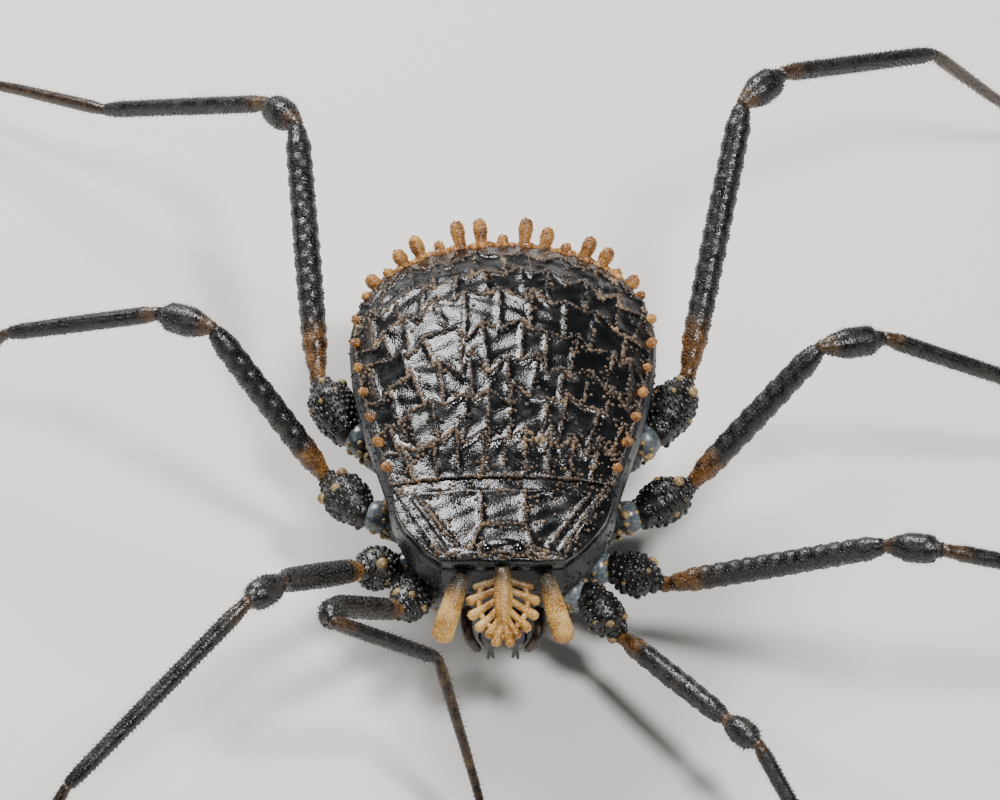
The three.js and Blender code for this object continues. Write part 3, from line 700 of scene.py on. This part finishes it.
# Golden cuticle, waxy and half clear: it glows where light falls on it. The tinted shades take it
# to the dark brown of the rods' roots.
gold_cuticle = cuticle(
    "golden_hood_cuticle",
    grain_mm=0.012,
    grain_depth_mm=0.003,
    shades=[(0.0, "#7A4A14"), (0.25, "#C28A3A"), (0.5, "#E8C27A")],
    roughness=(0.25, 0.42),
    blotch_mm=0.15,
    body=0.4,
    tinted=[(0.1, "#15130F"), (0.4, "#4A4030"), (0.6, "#8A7450")],
)

middle_rod = [HOOD_ROOT + HOOD_ROD_START * HOOD_AXIS, HOOD_ROOT + HOOD_ROD_LENGTH * HOOD_AXIS]
rods = [tube(middle_rod, [(0.5, HOOD_ROD_RADIUS)], *HOOD_ROD_ENDS)]
edges = []
for side in (-1, 1):
    edge = []
    for i in range(HOOD_BRANCHES):
        share = i / (HOOD_BRANCHES - 1)
        root = HOOD_ROOT + lerp(BRANCH_START, HOOD_ROD_LENGTH, share) * HOOD_AXIS
        angle = math.radians(lerp(*BRANCH_ANGLES, share**BRANCH_ANGLE_POWER))
        length = lerp(*BRANCH_LENGTHS, math.sin(math.pi * min(1, BRANCH_LENGTH_LEAD + share)))
        end = root + length * (side * math.sin(angle) * ACROSS + math.cos(angle) * HOOD_AXIS)
        end[2] -= BRANCH_DROOP * math.sin(angle)
        knob = BRANCH_KNOB_RADIUS if i else BRANCH_RADIUS
        rods.append(tube([root, end], [(0.6, BRANCH_RADIUS)], BRANCH_RADIUS, knob, sides=16, step=0.012))
        edge.append(lerp(root, end, RIM_SHARE))
    edges.append(edge)
rim = edges[0] + edges[1][::-1]
for a, b in zip(rim, rim[1:]):
    rods.append(tube([a, b], [], RIM_RADIUS, RIM_RADIUS, sides=12))
grains = [papillae(rod, spacing=0.016, radius=0.0048, seed=i) for i, rod in enumerate(rods)]
hood = merged(*[rod["mesh"] for rod in rods], *grains)
dark = HOOD_DARK * (1 - ease(*HOOD_DARK_REACH, (hood[0] - HOOD_ROOT) @ HOOD_AXIS))
fit(mesh_object("hood_lattice", *hood, gold_cuticle, dark), ["hood"])

for name, side in (("l", 1), ("r", -1)):
    way = side * math.sin(HORN_SPREAD) * ACROSS + math.cos(HORN_SPREAD) * HOOD_AXIS
    root = np.array([side * HORN_ROOT[0], HORN_ROOT[1], HORN_ROOT[2]])
    start, end = root + HORN_START * way, root + HORN_LENGTH * way
    limb = tube([start, end], [(0.35, 0.07), (0.75, HORN_RADIUS)], HORN_ROOT_RADIUS, HORN_RADIUS, sides=32)
    horn = merged(limb["mesh"], papillae(limb, spacing=0.018, radius=0.008))
    dark = 1 - ease(*HORN_DARK_REACH, (horn[0] - root) @ way)
    fit(mesh_object("horn_skin_" + name, *horn, gold_cuticle, dark), ["horn_" + name])

# The eyes: two domed black lenses on the low mound at the front margin. Each is a clear cornea over
# a black retina, and sits in a ring of small brown tubercles.
EYE_RADIUS = 0.045
BROW_RADIUS = 0.06
BROW_TUBERCLES = 11
BROW_DROP = 0.15
BROW_TUBERCLE_RADIUS = 1.25 * TUBERCLE_RADIUS
BROW_TUBERCLE_SPREAD = 0.3

# Smooth cornea: a mirror that shows the lamps as sharp white spots, on nearly pure black.
cornea = bpy.data.materials.new("polished_black_cornea")
cornea.use_nodes = True
tree = cornea.node_tree
shader = tree.nodes["Principled BSDF"]
depth = node(tree, "TexNoise", Vector=node(tree, "TexCoord").outputs["Object"], Scale=1 / (0.05 * MM))
black = node(tree, "ValToRGB", stops=[(0.3, "#020203"), (0.8, "#0B0908")], Fac=depth.outputs["Fac"])
tree.links.new(black.outputs["Color"], shader.inputs["Base Color"])
shader.inputs["Roughness"].default_value = 0.06
shader.inputs["Coat Weight"].default_value = 1.0

angles = np.arange(BROW_TUBERCLES) / BROW_TUBERCLES * 2 * math.pi
ring = BROW_RADIUS * np.stack([np.cos(angles), np.sin(angles), -BROW_DROP + 0 * angles], 1)
for name, side in (("l", 1), ("r", -1)):
    centre = np.array([side * EYE_OFFSET, -CARAPACE_LENGTH + EYE_SETBACK, MARGIN_Z + EYE_HEIGHT])
    eye = mesh_object("eye_lens_" + name, centre + EYE_RADIUS * BALL[0], BALL[1], cornea)
    fit(eye, ["eye_" + name])
    brow = beads(centre + ring, BROW_TUBERCLE_RADIUS * (1 + BROW_TUBERCLE_SPREAD * draw(angles, side)))
    fit(mesh_object("eye_brow_" + name, *brow, tubercle_cuticle), [])

# The underside: side walls of dark leathery skin that hang from the shield's rim and close under
# the belly, and eight thick coxae fixed to it in a fan. A ball of pale joint skin ends each coxa.
COXA_ENDS = {1: (0.48, -0.43, 0.84), 2: (0.67, -0.21, 0.86), 3: (0.885, 0.25, 0.9), 4: (1.02, 0.95, 0.97)}
COXA_ROOTS = {1: (0.16, -0.36, 0.78), 2: (0.16, -0.16, 0.78), 3: (0.18, 0.14, 0.8), 4: (0.24, 0.48, 0.82)}
COXA_BALL = 0.12
COXA_RADIUS = 0.165
COXA_NECK_RADIUS = 0.15
COXA_SKIN_STOP = 0.06
COXA_SKIN_BALLS = (0.1, 0.09)
MEMBRANE_REACH = 0.01
COLLAR_SPAN = (0.11, 0.04)
COLLAR_RADII = (0.148, 0.128)
WALL_LEVELS = [
    (MARGIN_Z - GAP / 2, 0.985),
    (1.37, 1.02),
    (1.3, 1.035),
    (1.22, 1.03),
    (1.06, 0.95),
    (0.9, 0.82),
    (0.74, 0.66),
    (0.63, 0.48),
    (0.56, 0.25),
]
WALL_CENTRE = (0, 0.62)
WALL_AROUND = 240
WALL_RINGS = 40
WALL_FLARE_Y = (-0.55, 0.1)
PLEAT_SPACING = 0.075
PLEAT_DEPTH = 0.007
BELLY_GRAINS = 1400
BELLY_GRAIN_RADIUS = 0.01
BELLY_GRAIN_SPREAD = 0.4
BELLY_GRAIN_SCATTER = 0.01
# Painted shade under the carapace: the belly is black ahead of the first y and its own blue-grey behind the
# second.
PAINTED_SHADE_FRONT_Y = (-0.75, -0.35)

# Leathery cuticle: dark blue-grey with a dull sheen on its pleats. Its tinted shades are painted
# shade: they take it to black at the front, in the shade under the carapace.
membrane_cuticle = cuticle(
    "blue_grey_leathery_cuticle",
    grain_mm=0.02,
    grain_depth_mm=0.004,
    shades=[(0.0, "#0B0C0D"), (0.3, "#1C1F22"), (0.55, "#3A4045")],
    roughness=(0.25, 0.45),
    blotch_mm=0.2,
    tinted=[(0.0, "#020202"), (0.3, "#070707"), (0.55, "#101112")],
)
# Soft joint skin: smooth and pale grey, with a little light in it.
pale_membrane = cuticle(
    "pale_joint_membrane",
    grain_mm=0.03,
    grain_depth_mm=0.001,
    shades=[(0.0, "#343A3D"), (0.3, "#535B60"), (0.55, "#7E878B")],
    roughness=(0.2, 0.35),
    blotch_mm=0.3,
    body=0.2,
)
# Thick tan cuticle on the knobs: warm and half matt, the lightest spots on the dark limbs.
knob_cuticle = cuticle(
    "tan_knob_cuticle",
    grain_mm=0.012,
    grain_depth_mm=0.003,
    shades=[(0.1, "#4A3A24"), (0.35, "#8C7448"), (0.55, "#BFA873")],
    roughness=(0.3, 0.5),
    blotch_mm=0.08,
    body=0.2,
)


def walls():
    """The side walls and the belly: rings of the shield's outline that flare, then close below."""
    turn = np.arange(WALL_AROUND) / WALL_AROUND * 2 * math.pi
    x = np.sin(turn)
    y = ABDOMEN_LENGTH - (1 - np.cos(turn)) / 2 * (ABDOMEN_LENGTH + CARAPACE_LENGTH)
    half = np.where(y > 0, abdomen_half_width(y), carapace_half_width(y))
    outline = np.stack([np.where(x >= 0, 1, -1) * half * (np.abs(x) > 1e-9), y], 1)
    heights = np.linspace(WALL_LEVELS[0][0], WALL_LEVELS[-1][0], WALL_RINGS)
    upward = np.array(WALL_LEVELS)[::-1]
    scales = np.interp(heights, upward[:, 0], upward[:, 1])
    pleats = 1 + PLEAT_DEPTH * np.sin(heights / PLEAT_SPACING * 2 * math.pi)
    rings = []
    for z, scale in zip(heights, scales * pleats):
        flare = 1 + (scale - 1) * np.where(scale > 1, ease(*WALL_FLARE_Y, outline[:, 1:]), 1)
        flat = np.array(WALL_CENTRE) + (outline - WALL_CENTRE) * flare
        rings.append(np.concatenate([flat, np.full((WALL_AROUND, 1), z)], 1))
    count = WALL_RINGS * WALL_AROUND
    first = np.arange(WALL_AROUND)
    last = first + count - WALL_AROUND
    lid = np.stack([first, np.full(WALL_AROUND, count), np.roll(first, -1)], 1)
    base = np.stack([last, np.roll(last, -1), np.full(WALL_AROUND, count + 1)], 1)
    middles = [[*WALL_CENTRE, heights[0]], [*WALL_CENTRE, heights[-1]]]
    faces = np.concatenate([ring_triangles(WALL_RINGS, WALL_AROUND), lid, base])
    return np.concatenate([*rings, middles]), faces


coxae, knobs, membranes = [], [], []
for pair in COXA_ENDS:
    for side in (-1, 1):
        mirror = np.array([side, 1, 1])
        root, end = mirror * COXA_ROOTS[pair], mirror * COXA_ENDS[pair]
        way = unit(end - root)
        stations = [(0.6, COXA_RADIUS), (0.92, COXA_NECK_RADIUS)]
        limb = tube([root, end - COXA_SKIN_STOP * way], stations, *COXA_SKIN_BALLS, sides=32)
        grains = papillae(limb, spacing=0.04, radius=0.009, from_share=0.3, seed=pair)
        coxae.append(merged(limb["mesh"], grains))
        collar = tube([end - back * way for back in COLLAR_SPAN], [], *COLLAR_RADII, sides=32, step=0.01)
        knobs.append(papillae(collar, spacing=0.08, radius=0.026, seed=pair + side, shape=BEAD_FINE))
        membranes.append(beads([end + MEMBRANE_REACH * way], [COXA_BALL], BALL))
hull = walls()
index = np.arange(BELLY_GRAINS)
spots = hull[0][np.int64((0.5 + 0.499 * draw(index, 1)) * len(hull[0]))]
spots = spots + BELLY_GRAIN_SCATTER * np.stack([draw(index, 2), draw(index, 3), draw(index, 4)], 1)
grains = beads(spots, BELLY_GRAIN_RADIUS * (1 + BELLY_GRAIN_SPREAD * draw(index, 5)), BEAD_PLAIN)
belly = merged(hull, grains, *coxae)
# The tint is painted shade: the walls, the belly and the front coxae go black towards the front, under the
# carapace.
dark = 1 - ease(*PAINTED_SHADE_FRONT_Y, belly[0][:, 1])
fit(mesh_object("belly_and_coxae", *belly, membrane_cuticle, dark), ["underside"])
fit(mesh_object("coxa_knobs", *merged(*knobs), knob_cuticle), [])
fit(mesh_object("joint_membranes", *merged(*membranes), pale_membrane), [])

# The mouthparts: a pair of short black jaws that hang behind the hood, each with two claws, and two
# slender brown palps. All are tubes of hard cuticle, hinged under the front margin.
JAW_ROOT, JAW_ELBOW, JAW_WRIST = (0.1, -0.77, 0.98), (0.11, -0.94, 1.03), (0.09, -0.97, 0.86)
CLAW_TIPS = [(0.07, -0.97, 0.75), (0.105, -0.99, 0.76)]
CLAW_RADII = (0.022, 0.012)
PALP_ROUTE = [(0.25, -0.76, 0.98), (0.262, -0.92, 1.03), (0.238, -1.0, 0.96), (0.183, -0.99, 0.86)]
# Dark brown cuticle, finely grained: satin, and seldom light enough to show its brown.
palp_cuticle = cuticle(
    "dark_brown_palp_cuticle",
    grain_mm=0.012,
    grain_depth_mm=0.002,
    shades=[(0.0, "#0C0805"), (0.3, "#2A1C10"), (0.58, "#5C4222")],
    roughness=(0.25, 0.42),
)
for name, side in (("l", 1), ("r", -1)):
    mirror = np.array([side, 1, 1])
    root, elbow, wrist = mirror * JAW_ROOT, mirror * JAW_ELBOW, mirror * JAW_WRIST
    links = [tube([root, elbow], [], 0.055, 0.07), tube([elbow, wrist], [(0.45, 0.078)], 0.07, 0.04)]
    links += [tube([wrist, mirror * tip], [], *CLAW_RADII, sides=12) for tip in CLAW_TIPS]
    jaw = merged(*[link["mesh"] for link in links])
    fit(mesh_object("jaw_" + name, *jaw, black_cuticle), ["chelicera_" + name])
    limb = tube([mirror * p for p in PALP_ROUTE], [(0.3, 0.042), (0.7, 0.038)], 0.045, 0.03, rounds=2)
    palp = merged(limb["mesh"], papillae(limb, spacing=0.03, radius=0.006))
    fit(mesh_object("palp_skin_" + name, *palp, palp_cuticle), ["palp_" + name])

# The legs: hollow rods of dark ringed cuticle with amber joints, each held by a ball in the one
# before it. Trochanters are knobby; the long thin feet lie flat on the floor at their ends.
LENGTHS = {
    1: {"trochanter": 0.4, "femur": 1.18, "patella": 0.36, "tibia": 0.98, "metatarsus": 1.15, "tarsus": 0.9},
    2: {"trochanter": 0.38, "femur": 1.97, "patella": 0.45, "tibia": 1.75, "metatarsus": 1.73, "tarsus": 1.4},
    3: {"trochanter": 0.44, "femur": 1.4, "patella": 0.5, "tibia": 1.28, "metatarsus": 1.32, "tarsus": 0.95},
    4: {"trochanter": 0.5, "femur": 2.07, "patella": 0.42, "tibia": 1.71, "metatarsus": 1.49, "tarsus": 1.15},
}
# Turn and rise in degrees of trochanter, femur, patella and tibia, then the turns of metatarsus and
# tarsus. Turn 0 is straight out and 90 straight back, and rise is above level.
POSE = {
    "leg1_l": ((-44, -30), (-52.4, 7.3), (-53, 8.3), (-63, -15.3), -64, -62),
    "leg2_l": ((-17.5, -9), (-23.4, 33.3), (-23.9, 17.3), (6.3, -21.2), 2, 0),
    "leg3_l": ((37.7, 3.4), (24.7, 44), (18.1, -7.3), (10.9, -32.1), 17, 15),
    "leg4_l": ((63.7, 14.6), (75.7, 35.9), (44.3, 4.2), (40.5, -25), 36, 34),
    "leg1_r": ((-67, 25.6), (-58.6, 43.9), (-92.6, 28.8), (161.3, -39.7), -125, -105),
    "leg2_r": ((-43.3, 32.4), (-70.8, 42.5), (-57.9, 22.3), (-41.6, -22.7), -42, -42),
    "leg3_r": ((52.3, 2.2), (30.1, 48.6), (34.4, -14.2), (16.4, -24), 17, 15),
    "leg4_r": ((63.1, 11.9), (84.7, 21.5), (55.8, -14.4), (32.5, -28.2), 38, 42),
}
GIRTH = {1: 0.86, 2: 0.94, 3: 1, 4: 1.05}
# The balls at both ends of a segment, then its radius at some shares of its length.
FORMS = {
    "trochanter": (0.115, 0.085, [(0.25, 0.155), (0.7, 0.158), (0.92, 0.12)]),
    "femur": (0.055, 0.062, [(0.05, 0.066), (0.14, 0.086), (0.5, 0.09), (0.95, 0.086)]),
    "patella": (0.05, 0.06, [(0.15, 0.075), (0.45, 0.108), (0.85, 0.104)]),
    "tibia": (0.048, 0.048, [(0.08, 0.06), (0.5, 0.06), (0.93, 0.056)]),
}
# How amber a segment is at its start, and the shares of its length between which that fades.
AMBER = {
    "trochanter": (0, 0.0, 0.1),
    "femur": (1, 0.1, 0.22),
    "patella": (0.35, 0.0, 0.1),
    "tibia": (0.35, 0.0, 0.1),
}
FOOT_AMBER = 0.25
SEAT_SHARE = 0.8
FOOT_SEAT_SHARE = 0.2
FOOT_BALL = 0.038
METATARSUS_RADIUS = 0.048
TARSUS_RADIUS = 0.036
TARSUS_END_RADIUS = 0.03
TOE_BALL = 0.022
SOLE_SHARE = 0.35
TARSUS_DROP_SHARE = 0.6
SOLE_Z = 0.026
FEMUR_RING_MM = 0.125
HAIR_LENGTH = 0.034
HAIR_THICKNESS = 0.0032
HAIR_SPREAD = 0.4
HAIR_LEAN = 0.7

# Scaly leg cuticle: near black with grey-brown flecks and a satin gloss. The tinted shades take it
# to the amber of the joints.
leg_cuticle = cuticle(
    "dark_scaly_leg_cuticle",
    grain_mm=0.016,
    grain_depth_mm=0.0025,
    shades=[(0.0, "#050505"), (0.3, "#12100F"), (0.55, "#332E29")],
    roughness=(0.22, 0.42),
    blotch_mm=0.1,
    tinted=[(0.0, "#1E1105"), (0.3, "#5A3812"), (0.58, "#9C7434")],
)


def heading(side, turn, rise):
    a, b = math.radians(turn), math.radians(rise)
    return np.array([side * math.cos(a) * math.cos(b), math.sin(a) * math.cos(b), math.sin(b)])


def hairs(limb, spacing, seed):
    """Short stiff hairs all over a limb, leaning towards its end."""
    roots, outward, onward = winding(limb, spacing)
    lean = outward + HAIR_LEAN * onward
    lean /= np.linalg.norm(lean, axis=1)[:, None]
    across = np.cross(outward, onward)
    third = np.cross(lean, across)
    length = HAIR_LENGTH * (1 + HAIR_SPREAD * draw(np.arange(len(roots)), seed))
    ring = [HAIR_THICKNESS * (math.cos(a) * across + math.sin(a) * third) for a in (0, 2.1, 4.2)]
    points = np.stack([roots + r for r in ring] + [roots + length[:, None] * lean], axis=1)
    triangles = np.array([[0, 1, 3], [1, 2, 3], [2, 0, 3]])
    offsets = (np.arange(len(roots)) * 4)[:, None, None]
    return points.reshape(-1, 3), (triangles[None] + offsets).reshape(-1, 3)


def joint_offset(before, after, ball_before, ball_after):
    """How far past a joint a segment starts, so that its ball stays a gap away from the last one."""
    along = ball_before * float(before @ after)
    reach = ball_before + ball_after + GAP
    return -along + math.sqrt(along**2 + reach**2 - ball_before**2)


for name, pose in POSE.items():
    pair, side = int(name[3]), (1 if name.endswith("_l") else -1)
    girth, lengths = GIRTH[pair], LENGTHS[pair]
    mirror = np.array([side, 1, 1])
    coxa_end = mirror * COXA_ENDS[pair]
    before = unit(coxa_end - mirror * COXA_ROOTS[pair])
    ball_before = COXA_BALL
    joint = coxa_end + ball_before * before
    for number, (segment, (start_ball, end_ball, stations)) in enumerate(FORMS.items()):
        start_ball, end_ball = start_ball * girth, end_ball * girth
        after = heading(side, *pose[number])
        offset = joint_offset(before, after, ball_before, start_ball)
        start = joint + offset * after
        length = lengths[segment] - offset - end_ball
        rings = round(length / FEMUR_RING_MM) if segment == "femur" else 0
        stations = [(0.02, start_ball)] + [(s, r * girth) for s, r in stations]
        seat = start - SEAT_SHARE * offset * after
        limb = tube([seat, start + length * after], stations, start_ball, end_ball, sides=32, rings=rings)
        if segment == "trochanter":
            tan = papillae(limb, spacing=0.15, radius=0.033, from_share=0.5, seed=pair, shape=BEAD_FINE)
            fit(mesh_object(f"{name}_knobs", *tan, knob_cuticle), [])
            coats = [papillae(limb, spacing=0.05, radius=0.021, from_share=0.1, seed=pair, shape=BEAD_FINE)]
        else:
            coats = [papillae(limb, spacing=0.027, radius=0.0085, seed=number)]
        if segment in ("patella", "tibia"):
            coats.append(hairs(limb, spacing=0.036, seed=number))
        skin = merged(limb["mesh"], *coats)
        most, *fade = AMBER[segment]
        amber = most * (1 - ease(*fade, (skin[0] - start) @ after / length))
        fit(mesh_object(f"{name}_{segment}_skin", *skin, leg_cuticle, amber), [f"{name}_{segment}"])
        joint = start + (length + end_ball) * after
        before, ball_before = after, end_ball
    level = heading(side, pose[5], 0)
    sole = lengths["tarsus"] * SOLE_SHARE
    slope = lengths["tarsus"] - sole
    drop = TARSUS_DROP_SHARE * slope
    fall = math.degrees(math.asin((joint[2] - SOLE_Z - drop) / lengths["metatarsus"]))
    down = heading(side, pose[4], -fall)
    start_ball = FOOT_BALL * girth
    start = joint + FOOT_SEAT_SHARE * joint_offset(before, down, ball_before, start_ball) * down
    ankle = joint + lengths["metatarsus"] * down
    heel = ankle + math.sqrt(slope**2 - drop**2) * level
    heel[2] = SOLE_Z
    toe = heel + sole * level
    share = lengths["metatarsus"] / (lengths["metatarsus"] + lengths["tarsus"])
    stations = [
        (0.05, METATARSUS_RADIUS * girth),
        (share, TARSUS_RADIUS * girth),
        (lerp(share, 1, 0.65), TARSUS_END_RADIUS),
    ]
    limb = tube([start, ankle, heel, toe], stations, start_ball, TOE_BALL, sides=20, rounds=2)
    grains = papillae(limb, spacing=0.034, radius=0.005)
    points, faces = merged(limb["mesh"], grains, hairs(limb, spacing=0.045, seed=pair))
    points[:, 2] = np.maximum(points[:, 2], 0)
    amber = np.full(len(points), FOOT_AMBER)
    fit(mesh_object(f"{name}_foot_skin", points, faces, leg_cuticle, amber), [f"{name}_foot"])

# The studio: a pale paper floor, a large softbox behind on the left that puts white glints on the
# shield, a smaller one at the front on the right, and a weak fill at the front on the left.
FLOOR_HALF = 0.06
TARGET = (ORIGIN + (-0.021, 0.788, 1.55)) * MM
DISTANCE = 0.05
VIEW_RISE = math.radians(45)
FIELD = 7.143 * MM
SENSOR_WIDTH = 36

floor_mesh = bpy.data.meshes.new("floor")
corners = [(x * FLOOR_HALF, y * FLOOR_HALF, 0) for x, y in ((-1, -1), (1, -1), (1, 1), (-1, 1))]
floor_mesh.from_pydata(corners, [], [(0, 1, 2, 3)])
floor = bpy.data.objects.new("floor", floor_mesh)
bpy.context.scene.collection.objects.link(floor)
# Uncoated paper: matt and light, so that the animal's shadow is all there is to see on it.
paper = bpy.data.materials.new("pale_paper")
paper.use_nodes = True
shader = paper.node_tree.nodes["Principled BSDF"]
shader.inputs["Base Color"].default_value = linear("#D9D6D1")
shader.inputs["Roughness"].default_value = 0.9
floor_mesh.materials.append(paper)


def aim(made, place):
    """The lamp or camera stands at its place and looks at the animal."""
    made.location = place
    made.rotation_euler = (Vector(TARGET) - Vector(place)).to_track_quat("-Z", "Y").to_euler()
    bpy.context.scene.collection.objects.link(made)


def softbox(name, azimuth, rise, reach, size, power):
    light = bpy.data.lights.new(name, "AREA")
    light.shape = "DISK"
    light.size = size
    light.energy = power
    a, b = math.radians(azimuth), math.radians(rise)
    away = np.array([-math.sin(a) * math.cos(b), -math.cos(a) * math.cos(b), math.sin(b)])
    aim(bpy.data.objects.new(name, light), tuple(TARGET + reach * away))


softbox("back_left", azimuth=152, rise=44, reach=0.03, size=0.016, power=0.016)
softbox("key", azimuth=-40, rise=60, reach=0.03, size=0.006, power=0.011)
softbox("fill", azimuth=60, rise=40, reach=0.04, size=0.02, power=0.003)
world = bpy.data.worlds.new("room")
world.use_nodes = True
world.node_tree.nodes["Background"].inputs["Color"].default_value = linear("#DADDE2")
world.node_tree.nodes["Background"].inputs["Strength"].default_value = 0.14
bpy.context.scene.world = world

optics = bpy.data.cameras.new("camera")
optics.sensor_width = SENSOR_WIDTH
optics.lens = SENSOR_WIDTH * DISTANCE / FIELD
optics.clip_start = 0.001
optics.clip_end = 1.0
camera = bpy.data.objects.new("camera", optics)
away = np.array([0, -math.cos(VIEW_RISE), math.sin(VIEW_RISE)])
aim(camera, tuple(TARGET + DISTANCE * away))
bpy.context.scene.camera = camera
